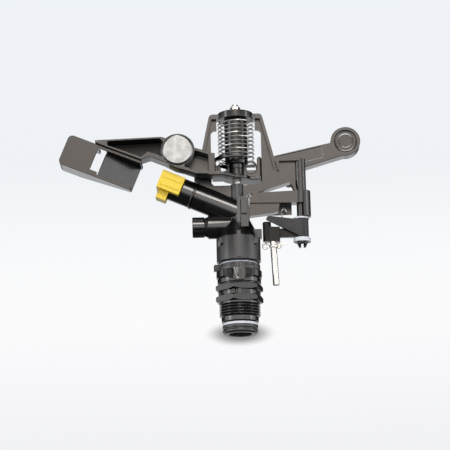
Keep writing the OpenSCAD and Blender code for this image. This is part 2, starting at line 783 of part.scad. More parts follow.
module spoon() {
    face_y = arm_front_y + 2;
    back_y = 2;
    window_x = 20.8;
    window_w = 5.2;
    panel_x = window_x + window_w;
    lean = 17;
    color("#2d2b2a") on_spoon() difference() {
        union() {
            translate([0, face_y, 0]) cube([window_x, arm_wall, spoon_h]);
            translate([window_x - 1, face_y, 0]) cube([window_w + 1, arm_wall, 3.6]);
            for (z = [0, spoon_h - arm_wall])
                translate([0, face_y, z]) cube([spoon_len, back_y - face_y, arm_wall]);
            translate([0, face_y, 0]) cube([arm_wall, back_y - face_y, spoon_h]);
            translate([panel_x, face_y + 7, arm_wall / 2]) rotate([0, 0, lean])
                cube([(spoon_len - panel_x) / cos(lean) - 0.6, arm_wall, spoon_h - arm_wall]);
            translate([1.2, -1, arm_wall / 2]) rotate([0, 0, -14])
                cube([15.6, arm_wall, spoon_h - arm_wall]);
        }
        // Upper wall is open behind the window
        translate([window_x, face_y + 2.6, spoon_h - arm_wall - 0.1]) cube([window_w, 30, arm_wall + 1]);
        // Lower wall runs out towards the right end
        translate([spoon_len * 0.3, back_y, -1]) rotate([0, 0, -16]) cube([60, 20, arm_wall + 1.2]);
        // Rounded left corners
        for (flip = [0, 1])
            translate([0, -30, flip * spoon_h]) mirror([0, 0, flip]) corner_cut(3.2);
    }
}

// Rounds an edge that runs along Y at the origin
module corner_cut(r) {
    difference() {
        translate([-1, 0, -1]) cube([r + 1, 60, r + 1]);
        translate([r, -1, r]) rotate([-90, 0, 0]) cylinder(r = r, h = 62);
    }
}

module tail_outline() {
    polygon(arm([
        [hub_reach_x + 1, 1.2], [hub_reach_x + 1, 16.4], [24, 17.4], [61.8, 25.6], [70, 27],
        [74, 17.6], [69.8, 16.6], [44.6, 9.2]
    ]));
}

module hub() {
    // Lower flange, with its arms to both halves
    difference() {
        union() {
            disc(hub_r, hub_z, hub_z + hub_flange_h);
            translate([0, 0, hub_z]) linear_extrude(hub_flange_h) polygon([
                [-hub_reach_x - 2, arm_front_y], [-8, arm_front_y], [0, -hub_r], [2, 0],
                [0, 2], [-hub_reach_x, 2], [-hub_reach_x, arm_back_y], [-hub_reach_x - 2, arm_back_y]
            ]);
            translate([0, 0, hub_z]) linear_extrude(hub_flange_h) polygon([
                [0, -2], [hub_reach_x, -2], [hub_reach_x, tail_front_y],
                [hub_reach_x + 2, tail_front_y], [hub_reach_x + 2, tail_back_y - 2], [8, tail_back_y - 2],
                [0, hub_r]
            ]);
            disc(core_r, hub_z, web_top_z - 3);
            // Webs with their round holes
            front_plate(-arm_wall / 2, arm_wall / 2) difference() {
                polygon(arm([
                    [-hub_reach_x + 0.5, 0.5], [hub_reach_x - 0.5, 0.5], [hub_reach_x - 0.5, 14.8],
                    [hub_reach_x - 2.6, 14.8], [hub_reach_x - 2.6, 10.4], [-hub_reach_x + 2.6, 10.4],
                    [-hub_reach_x + 2.6, 13.8], [-hub_reach_x + 0.5, 13.8]
                ]));
                translate([-10.2, hub_z + 6.5]) square([3.1, 3.6]);
                translate([6.6, hub_z + 6.7]) square([6, 2]);
                translate([12.4, hub_z + 9.2]) circle(r = 0.7);
            }
            // End walls that carry the two halves
            translate([-hub_reach_x, arm_front_y, hub_z]) cube([arm_wall, 0.6 - arm_front_y, 14.6]);
            translate([hub_reach_x - arm_wall, -0.6, hub_z]) cube([arm_wall, tail_back_y - 1, 15.6]);
            // Guard in front of the spring's foot
            ring_sector(spring_r + 2.6, spring_r + 0.7, hub_z + 12.4, hub_z + 14.6, 188, 292);
            // Bridges from the end walls to the two halves
            translate([-hub_reach_x - 1, arm_front_y, hub_z]) cube([2, arm_depth, 14.6]);
            translate([hub_reach_x - 1, tail_front_y, hub_z + 1.2]) cube([2, tail_depth, 15]);
        }
        disc(bush_r, hub_z - 1, web_top_z + 1);
        disc(core_r, core_z, web_top_z + 1);
    }
}
bush_r = pin_r + run_gap + 0.8;
core_r = 4.7;
core_z = web_top_z - 3 + eps;

module drive_arm() {
    web_front = arm_back_y - arm_wall;
    color("#2d2b2a") difference() {
        union() {
            difference() {
                front_plate(arm_front_y, arm_back_y) left_half_outline();
                front_plate(arm_front_y - 1, web_front) left_pockets();
            }
            hub();
        }
        // Seats of the metal weight, the spoon and the tail
        front_plate(arm_front_y - 1, arm_front_y + weight_seat) translate(weight_at) circle(r = weight_r);
        on_spoon() translate([-1, -40, -1]) cube([spoon_len + 1, 60, spoon_h + 1]);
        front_plate(tail_front_y - 1, tail_back_y + 1) tail_outline();
    }
}

// Right half of the arm, behind the bridge
module arm_tail() {
    color("#2d2b2a") difference() {
        union() {
            front_plate(tail_front_y, tail_back_y) tail_outline();
            front_plate(tail_front_y, tail_back_y) translate(tail_end) circle(r = tail_end_r);
        }
        strike_pad_shape();
        front_plate(tail_back_y - 4, tail_back_y + 1) translate(tail_end) circle(r = 7.4);
        // Sunk back of the tail
        front_plate(tail_front_y + arm_wall, tail_back_y + 1) polygon(arm([
            [19, 4.2], [19, 14.6], [24, 15.4], [61, 23.2], [61.2, 16.4], [44, 11.2]
        ]));
        // Sunk disc on the tail's front
        front_plate(tail_front_y - 1, tail_front_y + 0.8) translate(tail_end) circle(r = 7.4);
    }
}
weight_seat = 7;

// Pad under the tail that the reversing lever's hook catches
module strike_pad_shape() {
    front_plate(tail_front_y, tail_front_y + 8) polygon(arm([
        [25, 0.4], [28.6, 0.4], [28.6, 6.2], [25, 5.2]
    ]));
}

module strike_pad() {
    color("#4a4a4c") strike_pad_shape();
}

module arm_weight() {
    proud = 1.2;
    chamfer = 0.9;
    color("#9d9b94") translate([weight_at[0], arm_front_y + weight_seat, weight_at[1]]) rotate([90, 0, 0])
        rotate_extrude() polygon([
            [0, 0], [weight_r, 0], [weight_r, weight_seat + proud - chamfer],
            [weight_r - chamfer, weight_seat + proud], [0, weight_seat + proud]
        ]);
}

module tail_weight() {
    color("#8e8c86") front_plate(tail_back_y - 4, tail_back_y - 0.4) translate(tail_end) circle(r = 7.4);
}

module lower_bush() {
    color("#e4e4e0") tube(bush_r, pin_r + run_gap, hub_z - 0.6, web_top_z - 3);
}

module spring_core() {
    color("#3a3939") union() {
        tube(core_r, pin_r + run_gap, core_z, web_top_z + 1);
        tube(guide_r, pin_r + run_gap, web_top_z, core_top_z);
    }
}

module arm_spring() {
    mean_r = spring_r - spring_wire_r;
    coil = helix(mean_r, spring_z0 + 0.6, spring_z1 - 0.2, spring_turns, 24, -20);
    first = coil[0];
    tail = [[12.4, 2, hub_z + 9.2], [12.4, -1.6, hub_z + 9.2], [12.2, -3, hub_z + 9.9]];
    color("#cfc8bb") wire(concat(tail, [[first[0] + 0.2, first[1] - 0.6, hub_z + 10.8]], coil), spring_wire_r);
}

// ---------- Trip lever ----------

module trip_lever() {
    left_x = trip_x - 25.2;
    holder_top_z = lever_top_z - 1.4;
    holder_foot_z = lever_foot_z - 2.2;
    color("#1e1d1d") difference() {
        union() {
            at_trip() disc(lever_eye_r, eye_z, eye_z + eye_h);
            // Arm from the eye to the holder
            front_plate(trip_y - 2, trip_y + 2) polygon([
                [left_x + 4, eye_z], [trip_x - 2, eye_z], [trip_x - 2, eye_z + eye_h],
                [left_x + 4, eye_z + eye_h]
            ]);
            // Holder: a round front barrel and a block for the rod
            translate([left_x + 2.7, trip_y, holder_foot_z])
                cylinder(r = 2.7, h = holder_top_z - holder_foot_z);
            translate([left_x + 2.7, trip_y - 2.3, holder_foot_z])
                cube([8.3, 5.3, holder_top_z - holder_foot_z - 3.4]);
        }
        at_trip() disc(trip_pin_r + run_gap, eye_z - 1, eye_z + eye_h + 1);
        on_rod() disc(rod_r, -20, 3.6);
    }
}
lever_eye_r = 3.3;
rod_lean = -2.5;

// Places what is drawn along Z on the leaning axis of the trip rod, at its holder
module on_rod() {
    translate([trip_x - 18.8, trip_y, lever_foot_z - 1]) rotate([0, rod_lean, 0]) children();
}

module trip_rod() {
    color("#d8d4cb") on_rod() rotate_extrude() polygon([
        [0, 3.6], [rod_r, 3.6], [rod_r, -rod_len + 0.5], [rod_r - 0.5, -rod_len], [0, -rod_len]
    ]);
}

module rod_clip() {
    drop = 3.8;
    color("#b9b4aa") on_rod() difference() {
        union() {
            disc(rod_r + 1, -drop - 1.4, -drop + 0.2);
            for (x = [-5.2, 3.4])
                translate([x, 0, -drop]) rotate([90, 0, 0])
                    rotate_extrude() translate([1.7, 0]) circle(r = 0.5, $fn = 24);
            translate([-4, -0.5, -drop - 1.2]) cube([8, 1, 1.2]);
            translate([3, -1.4, -drop + 0.1]) cube([6, 2.4, 0.5]);
        }
        disc(rod_r, -drop - 2, -drop + 2);
    }
}

module toggle_spring() {
    x = trip_x - 12.6;
    r = 0.5;
    y = trip_y + 2 + r;
    color("#d8d4cb") wire([
        [x - 1, y, eye_z + 2.8], [x - 0.4, y, eye_z + 2.2], [x + 0.4, y, eye_z + 3.4],
        [x + 0.2, y, lever_top_z - 4], [x, y, lever_top_z + 4], [x, y, boss_z - 3.8],
        [x + 1, y, boss_z - 2.6], [x + 2.6, y, boss_z - 3.2], [x + 3, y, boss_z - 4.6]
    ], r, 8);
}

// ---------- Reversing lever ----------

module reversing_lever() {
    tip_x = trip_x - 22.4;
    plate_front = trip_y - lever_barrel_r;
    plate_back = plate_front + 1.7;
    shell_top_z = eye_z + eye_h + pass_gap;
    finger_top_z = hub_z + 2.6;
    finger_y = 5.7;
    color("#77787d") difference() {
        union() {
            at_trip() disc(lever_barrel_r, shell_top_z, lever_top_z);
            // Shell round the trip lever's eye
            at_trip() ring_sector(lever_barrel_r, lever_eye_r + pass_gap, lever_foot_z + 0.1, shell_top_z + 0.1, -92, 64);
            // Triangular plate with a rim along its lower edge
            front_plate(plate_front, plate_back) polygon([
                [tip_x, lever_top_z + 1.4], [tip_x + 1.6, lever_top_z + 2],
                [trip_x - 6.4, lever_top_z], [trip_x, lever_top_z],
                [trip_x + 0.6, lever_foot_z + 0.1], [trip_x - 1, lever_foot_z + 0.1],
                [tip_x - 0.6, lever_top_z - 0.4]
            ]);
            front_plate(plate_front, trip_y - 2 - pass_gap) polygon([
                [trip_x - 2, lever_top_z], [trip_x - 6.4, lever_top_z], [trip_x - 12, lever_top_z + 0.8],
                [trip_x - 12, lever_top_z - 1], [trip_x - 2, lever_top_z - 1.8]
            ]);
            // Finger behind the bracket's post, and its hook behind the arm's strike pad
            translate([trip_x - 2.6, trip_y, lever_top_z - 3]) cube([4.5, 8.1, 3]);
            translate([trip_x - 2.6, trip_y + finger_y, lever_top_z - 3])
                cube([4.5, 2.4, finger_top_z - lever_top_z + 3]);
            translate([trip_x, trip_y, finger_top_z - 2.4]) linear_extrude(2.4) polygon([
                [-2.6, finger_y], [1.9, finger_y], [-2.7, 25.6], [-7.1, 26], [-8.6, 24], [-5.2, 21.3]
            ]);
        }
        at_trip() disc(trip_pin_r + run_gap, lever_foot_z - 1, lever_top_z + 1);
        at_trip() disc(lever_eye_r + pass_gap, lever_foot_z - 1, shell_top_z);
    }
}

inlet_nipple();
bearing_nut();
bearing_seal();
bearing_spring();
lower_collar();
upper_collar();
bearing_sleeve();
foot_washer();
spacer_ring();
main_body();
nozzle_sleeve();
main_nozzle();
stream_vane();
rear_plug();
plug_seal();
bridge_frame();
spring_cap();
fulcrum_pin();
pin_nut();
trip_bracket();
trip_pin();
upper_lever_washer();
lower_lever_washer();
drive_arm();
spoon();
arm_tail();
strike_pad();
arm_weight();
tail_weight();
lower_bush();
spring_core();
arm_spring();
trip_lever();
trip_rod();
rod_clip();
toggle_spring();
reversing_lever();
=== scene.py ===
"""Dresses the part-circle impact sprinkler with its finishes, rounded mouldings and studio."""
import logging
import math
from collections.abc import Callable, Sequence
from dataclasses import dataclass
from enum import Enum

import bpy
from mathutils import Matrix, Vector
from mathutils.bvhtree import BVHTree


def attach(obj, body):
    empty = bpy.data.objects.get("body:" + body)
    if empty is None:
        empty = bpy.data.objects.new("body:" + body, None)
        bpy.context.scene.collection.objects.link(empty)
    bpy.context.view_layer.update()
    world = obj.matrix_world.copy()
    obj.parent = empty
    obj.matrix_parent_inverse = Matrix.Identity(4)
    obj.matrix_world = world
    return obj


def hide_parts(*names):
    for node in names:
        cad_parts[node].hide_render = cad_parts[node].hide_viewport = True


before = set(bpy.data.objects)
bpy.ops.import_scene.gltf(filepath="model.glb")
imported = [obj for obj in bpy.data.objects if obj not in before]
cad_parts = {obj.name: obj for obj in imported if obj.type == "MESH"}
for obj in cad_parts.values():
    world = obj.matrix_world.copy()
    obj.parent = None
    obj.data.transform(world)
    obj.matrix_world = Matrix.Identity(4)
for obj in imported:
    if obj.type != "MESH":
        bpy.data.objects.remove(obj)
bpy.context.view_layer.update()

LOG = logging.getLogger("sprinkler")
MM = 0.001
MERGE_GAP = 2e-6
FLAT_DEG = 0.6
FRONT_LIMIT = -0.9
TRIM_SEGMENTS = 2

# Share of the full width, whether it is clamped, and whether it slides along its edges.
ROUNDING_TRIES = ((1.0, False, True), (1.0, False, False), (0.6, False, False),
                  (0.3, False, False), (1.0, True, False))

Point = tuple[float, float, float]
Colour = tuple[float, float, float]


class Slot(Enum):
    """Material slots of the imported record."""

    BLACK = "black_plastic"
    GREY = "grey_plastic"
    YELLOW = "yellow_plastic"
    WHITE = "white_plastic"
    RUBBER = "black_rubber"
    STAINLESS = "stainless"
    SPRING = "spring_steel"
    ZINC = "zinc"


class Body(Enum):
    """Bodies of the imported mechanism."""

    INLET = "inlet"
    COLLAR_LOW = "collar_low"
    COLLAR_HIGH = "collar_high"
    ROTOR = "rotor"
    ARM = "arm"
    TRIPPER = "tripper"
    REVERSER = "reverser"


# ---------- Shader maths ----------


class Sock:
    """Wraps a node socket so that Python expressions add Math nodes."""

    def __init__(self, shade: "Graph", socket: bpy.types.NodeSocket) -> None:
        """Keeps the tree and the output socket."""
        self.shade = shade
        self.socket = socket

    def __add__(self, other: "Sock | float") -> "Sock":
        """Sum of two values."""
        return self.shade.maths("ADD", self, other)

    def __radd__(self, other: float) -> "Sock":
        """Sum with a number on the left."""
        return self.shade.maths("ADD", other, self)

    def __sub__(self, other: "Sock | float") -> "Sock":
        """Difference of two values."""
        return self.shade.maths("SUBTRACT", self, other)

    def __rsub__(self, other: float) -> "Sock":
        """Difference with a number on the left."""
        return self.shade.maths("SUBTRACT", other, self)

    def __mul__(self, other: "Sock | float") -> "Sock":
        """Product of two values."""
        return self.shade.maths("MULTIPLY", self, other)

    def __rmul__(self, other: float) -> "Sock":
        """Product with a number on the left."""
        return self.shade.maths("MULTIPLY", other, self)


class Graph:
    """Node tree built by calls and expressions."""

    def __init__(self, tree: bpy.types.NodeTree) -> None:
        """Keeps the tree."""
        self.tree = tree

    def node(self, kind: str, settings: dict | None = None, **inputs: object) -> bpy.types.Node:
        """Adds a node.

        Args:
            kind: Node type without its ShaderNode prefix.
            settings: Attributes set before the sockets; "stops" fills a colour ramp.
            inputs: Values or links by socket name, with underscores for spaces, or by i and its place.

        Returns:
            The new node.
        """
        node = self.tree.nodes.new("ShaderNode" + kind)
        for key, value in (settings or {}).items():
            if key == "stops":
                self._fill_ramp(node.color_ramp, value)
            else:
                setattr(node, key, value)
        for key, value in inputs.items():
            place = int(key[1:]) if key[1:].isdigit() else key.replace("_", " ")
            self.feed(node.inputs[place], value)
        return node

    @staticmethod
    def _fill_ramp(ramp: bpy.types.ColorRamp, stops: Sequence[tuple[float, Colour]]) -> None:
        """Sets a ramp's stops from pairs of place and colour."""
        while len(ramp.elements) < len(stops):
            ramp.elements.new(0.5)
        for element, (place, colour) in zip(ramp.elements, stops):
            element.position = place
            element.color = (*colour, 1.0)

    def feed(self, socket: bpy.types.NodeSocket, value: object) -> None:
        """Links a Sock to a socket, or sets a number or a colour on it."""
        if isinstance(value, Sock):
            self.tree.links.new(value.socket, socket)
        elif isinstance(value, tuple) and len(socket.default_value) == 4:
            socket.default_value = (*value, 1.0)
        else:
            socket.default_value = value

    def maths(self, operation: str, *values: "Sock | float") -> Sock:
        """Adds a Math node on values."""
        inputs = {f"i{k}": v for k, v in enumerate(values)}
        return Sock(self, self.node("Math", {"operation": operation}, **inputs).outputs[0])

    def blend(self, factor: "Sock | float", low: "Sock | Colour", high: "Sock | Colour") -> Sock:
        """Mixes two colours by a factor."""
        node = self.node("Mix", {"data_type": "RGBA"}, i0=factor, i6=low, i7=high)
        return Sock(self, node.outputs[2])

    def place(self, stretch: Point = (1.0, 1.0, 1.0)) -> Sock:
        """Object coordinates, scaled along each axis."""
        coords = self.node("TexCoord")
        node = self.node("Mapping", Vector=Sock(self, coords.outputs["Object"]), Scale=stretch)
        return Sock(self, node.outputs[0])

    def noise(self, scale: float, detail: float = 3.0, stretch: Point = (1.0, 1.0, 1.0)) -> Sock:
        """Soft noise from 0 to 1 on object coordinates."""
        node = self.node("TexNoise", Vector=self.place(stretch), Scale=scale, Detail=detail)
        return Sock(self, node.outputs[0])

    def ramp(self, value: Sock, low: float, high: float) -> Sock:
        """Maps a value to 0 below low and 1 above high, smoothly between."""
        node = self.node("MapRange", {"interpolation_type": "SMOOTHSTEP"}, Value=value,
                         From_Min=low, From_Max=high)
        return Sock(self, node.outputs[0])

    def axes(self, vector: "Sock") -> tuple["Sock", "Sock", "Sock"]:
        """Splits a vector into its three values."""
        node = self.node("SeparateXYZ", Vector=vector)
        return Sock(self, node.outputs[0]), Sock(self, node.outputs[1]), Sock(self, node.outputs[2])


class Shade(Graph):
    """Node tree of one material."""

    def __init__(self, name: str) -> None:
        """Starts a material with its Principled shader."""
        self.material = bpy.data.materials.new(name)
        self.material.use_nodes = True
        super().__init__(self.material.node_tree)
        self.shader = self.tree.nodes["Principled BSDF"]
        self.output = self.tree.nodes["Material Output"]

    def bump(self, height: Sock, strength: float, depth_mm: float) -> None:
        """Drives the shader's normal by a height field of a depth in millimetres."""
        node = self.node("Bump", Height=height, Strength=strength, Distance=depth_mm * MM)
        self.tree.links.new(node.outputs[0], self.shader.inputs["Normal"])


# ---------- Finishes ----------


@dataclass(frozen=True)
class Plastic:
    """Injection-moulded plastic: flow marks, sink marks and a fine grain."""

    name: str
    slot: Slot
    deep: Colour
    pale: Colour
    rough: float = 0.3
    rough_spread: float = 0.1
    grain: float = 0.1
    sheen_scale: float = 45.0
    specular: float = 0.5

    def material(self) -> bpy.types.Material:
        """Builds the material."""
        shade = Shade(self.name)
        flow = shade.noise(self.sheen_scale, 3.0, (1.0, 1.4, 0.7))
        cloud = shade.noise(self.sheen_scale * 5.0, 4.0)
        fine = shade.noise(2600.0, 2.0)
        tone = shade.ramp(flow * 0.7 + cloud * 0.3, 0.34, 0.66)
        shade.feed(shade.shader.inputs["Base Color"], shade.blend(tone, self.deep, self.pale))
        shade.feed(shade.shader.inputs["Roughness"],
                   self.rough + (cloud - 0.5) * self.rough_spread + (fine - 0.5) * 0.03)
        shade.feed(shade.shader.inputs["Specular IOR Level"], self.specular)
        shade.bump(fine * self.grain + cloud * 0.8 + flow * 2.0, 0.3, 0.02)
        return shade.material


@dataclass(frozen=True)
class Steel:
    """Drawn or turned metal with streaks along its work direction."""

    name: str
    slot: Slot
    deep: Colour
    pale: Colour
    rough: float = 0.22
    stretch: Point = (1.0, 1.0, 12.0)
    mottle: float = 0.35

    def material(self) -> bpy.types.Material:
        """Builds the material."""
        shade = Shade(self.name)
        streak = shade.noise(700.0, 3.0, self.stretch)
        patch = shade.noise(240.0, 4.0)
        tone = shade.ramp(streak * (1.0 - self.mottle) + patch * self.mottle, 0.3, 0.7)
        shade.feed(shade.shader.inputs["Base Color"], shade.blend(tone, self.deep, self.pale))
        shade.feed(shade.shader.inputs["Metallic"], 1.0)
        shade.feed(shade.shader.inputs["Roughness"], self.rough + (patch - 0.5) * 0.16)
        shade.bump(streak + patch * 0.6, 0.2, 0.01)
        return shade.material


BLACK = Plastic("black_moulding", Slot.BLACK, (0.0042, 0.004, 0.004), (0.0095, 0.009, 0.0088),
                rough=0.22, specular=0.95)
# Painted sheen: a paler, browner copy of the black plastic, standing in for the warm sheen on the
# front-lit webs of the arm, tail, bridge and trip bracket.
SHEEN_BROWN = Plastic("painted_sheen_moulding", Slot.BLACK, (0.0075, 0.0066, 0.006), (0.017, 0.0145, 0.0128),
                  rough=0.25, specular=1.0)
# Painted light: a paler grey copy of the black plastic, standing in for the light on the body, bearing
# sleeve and upper collar.
LIT_GREY = Plastic("painted_light_moulding", Slot.BLACK, (0.028, 0.0285, 0.03), (0.044, 0.045, 0.048),
                    rough=0.38, specular=0.8)
# Painted shade: a darker, duller copy of the black plastic, laid on recesses, undersides and the body's
# stub and shoulder, where shade falls; the trip lever is drawn whole in it as a dull black.
SHADE_DULL_BLACK = Plastic("painted_shade_dull_moulding", Slot.BLACK, (0.003, 0.0027, 0.0025), (0.0065, 0.0058, 0.0053),
                 rough=0.3, specular=0.3)
LEVER_GREY = Plastic("lever_moulding", Slot.GREY, (0.034, 0.035, 0.039), (0.054, 0.055, 0.06),
                     rough=0.34, specular=0.25)
YELLOW = Plastic("nozzle_moulding", Slot.YELLOW, (0.93, 0.6, 0.02), (1.0, 0.74, 0.05),
                 rough=0.4, grain=0.06)
WHITE = Plastic("washer_moulding", Slot.WHITE, (0.72, 0.77, 0.86), (0.84, 0.88, 0.94),
                rough=0.4, grain=0.15)
BUSH = Plastic("bush_moulding", Slot.WHITE, (0.7, 0.7, 0.66), (0.8, 0.8, 0.77), rough=0.45)
RUBBER = Plastic("seal_rubber", Slot.RUBBER, (0.008, 0.008, 0.008), (0.017, 0.017, 0.017),
                 rough=0.62, specular=0.3)
STAINLESS = Steel("turned_stainless", Slot.STAINLESS, (0.66, 0.64, 0.6), (0.86, 0.84, 0.8), rough=0.28)
SPRING = Steel("spring_wire", Slot.SPRING, (0.66, 0.63, 0.58), (0.95, 0.93, 0.9), rough=0.34,
               stretch=(1.0, 1.0, 1.0))
ZINC = Steel("cast_weight", Slot.ZINC, (0.27, 0.276, 0.276), (0.43, 0.44, 0.445), rough=0.4,
             stretch=(1.0, 1.0, 1.0), mottle=0.7)

_MATERIALS: dict[str, bpy.types.Material] = {}


def material_of(finish: Plastic | Steel) -> bpy.types.Material:
    """The finish's material, built once."""
    if finish.name not in _MATERIALS:
        _MATERIALS[finish.name] = finish.material()
    return _MATERIALS[finish.name]


# ---------- Modelling ----------


class Bench:
    """Moves of Blender's own modelling operators, each on one object."""

    @staticmethod
    def clear() -> None:
        """Leaves edit mode and deselects everything."""
        if bpy.context.mode != "OBJECT":
            bpy.ops.object.mode_set(mode="OBJECT")
        bpy.ops.object.select_all(action="DESELECT")

    @staticmethod
    def pick(obj: bpy.types.Object) -> None:
        """Selects one object alone and makes it active."""
        Bench.clear()
        obj.select_set(True)
        bpy.context.view_layer.objects.active = obj

    @staticmethod
    def edit_all(obj: bpy.types.Object) -> None:
        """Opens the object in edit mode with all of it selected."""
        Bench.pick(obj)
        bpy.ops.object.mode_set(mode="EDIT")
        bpy.ops.mesh.select_mode(type="FACE")
        bpy.ops.mesh.select_all(action="SELECT")

    @staticmethod
    def edit_faces(obj: bpy.types.Object, test: Callable[[Vector, Vector], bool]) -> None:
        """Opens the object in edit mode with some faces selected.

        Args:
            obj: The object.
            test: Takes a face's centre and normal, and says whether it is wanted.
        """
        Bench.edit_all(obj)
        bpy.ops.mesh.select_all(action="DESELECT")
        bpy.ops.object.mode_set(mode="OBJECT")
        for face in obj.data.polygons:
            face.select = test(face.center, face.normal)
        bpy.ops.object.mode_set(mode="EDIT")

    @staticmethod
    def apply(obj: bpy.types.Object, kind: str, **settings: object) -> None:
        """Adds a modifier with its settings and applies it."""
        Bench.pick(obj)
        modifier = obj.modifiers.new(kind.title(), kind)
        for key, value in settings.items():
            setattr(modifier, key, value)
        bpy.ops.object.modifier_apply(modifier=modifier.name)

    @staticmethod
    def settle(obj: bpy.types.Object) -> None:
        """Moves the object's place and turn into its mesh."""
        Bench.pick(obj)
        bpy.ops.object.transform_apply(location=True, rotation=True, scale=True)

    @staticmethod
    def smooth(obj: bpy.types.Object, angle_deg: float = 35.0) -> None:
        """Shades smoothly across shallow edges, with flat faces kept flat."""
        Bench.pick(obj)
        bpy.ops.object.shade_smooth_by_angle(angle=math.radians(angle_deg))
        Bench.apply(obj, "WEIGHTED_NORMAL", keep_sharp=True, weight=60)


@dataclass
class Piece:
    """A finished piece: what it is made of, what it rides on and what it stands for."""

    obj: bpy.types.Object
    finish: Plastic | Steel
    body: Body
    stands_for: tuple[str, ...] = ()

    def hand_over(self) -> None:
        """Gives the piece its material and body, and hides the CAD nodes it stands for."""
        self.obj.data.materials.clear()
        self.obj.data.materials.append(material_of(self.finish))
        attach(self.obj, self.body.value)
        if self.stands_for:
            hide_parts(*self.stands_for)
        LOG.info("%s: %d faces on %s", self.obj.name, len(self.obj.data.polygons), self.body.value)


def darken_faces(obj: bpy.types.Object, finish: Plastic | Steel,
             test: Callable[[Vector, Vector], bool]) -> None:
    """Paints some faces of a finished piece in a second, darker finish of the same slot; it lays painted
    shade, and brings back the plain black under painted light.

    Args:
        obj: The piece's object.
        finish: The finish for the chosen faces.
        test: Takes a face's centre in millimetres and its normal, and says whether it is chosen.
    """
    obj.data.materials.append(material_of(finish))
    for face in obj.data.polygons:
        if test(face.center / MM, face.normal):
            face.material_index = len(obj.data.materials) - 1


def merged_copy(node: str, name: str) -> bpy.types.Object:
    """Copies a CAD node's mesh and joins its loose triangles into clean faces.

    Args:
        node: The CAD node.
        name: Name of the new object.

    Returns:
        The new object.
    """
    obj = bpy.data.objects.new(name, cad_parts[node].data.copy())
    bpy.context.scene.collection.objects.link(obj)
    Bench.edit_all(obj)
    bpy.ops.mesh.remove_doubles(threshold=MERGE_GAP)
    bpy.ops.mesh.dissolve_limited(angle_limit=math.radians(FLAT_DEG))
    bpy.ops.object.mode_set(mode="OBJECT")
    return obj


def stray(mesh: bpy.types.Mesh, solid: bpy.types.Mesh) -> float:
    """Measures how far a rounded mesh strays from its solid.

    Args:
        mesh: The rounded mesh.
        solid: The mesh before it was rounded.

    Returns:
        The largest distance of its points from the solid's surface, in metres.
    """
    tree = BVHTree.FromPolygons([v.co for v in solid.vertices],
                                [tuple(f.vertices) for f in solid.polygons])
    return max(tree.find_nearest(v.co)[3] for v in mesh.vertices)


def rounded(node: str, body: Body, finish: Plastic | Steel, width_mm: float = 0.3,
            segments: int = 2, angle_deg: float = 32.0) -> bpy.types.Object:
    """Puts a moulded copy with rounded edges in a CAD node's place.

    Each rounding is measured against the solid. One that strays by its own width or more is
    undone and tried again, and the edges stay sharp if none holds.

    Args:
        node: The CAD node.
        body: The body that the node rides on.
        finish: Its finish.
        width_mm: Width of the rounding.
        segments: Steps across the rounding.
        angle_deg: Edges sharper than this are rounded.

    Returns:
        The new object.
    """
    obj = merged_copy(node, node + "_moulded")
    solid = obj.data.copy()
    for share, clamp, slide in ROUNDING_TRIES if width_mm else ():
        width = width_mm * share * MM
        Bench.apply(obj, "BEVEL", width=width, segments=segments, limit_method="ANGLE",
                    angle_limit=math.radians(angle_deg), use_clamp_overlap=clamp,
                    miter_outer="MITER_ARC", loop_slide=slide)
        off = stray(obj.data, solid)
        if off < width:
            break
        LOG.info("%s: a rounding of %.2f mm strays %.2f mm", node, width / MM, off / MM)
        obj.data = solid.copy()
    Bench.smooth(obj)
    Piece(obj, finish, body, (node,)).hand_over()
    return obj


# ---------- Studio ----------


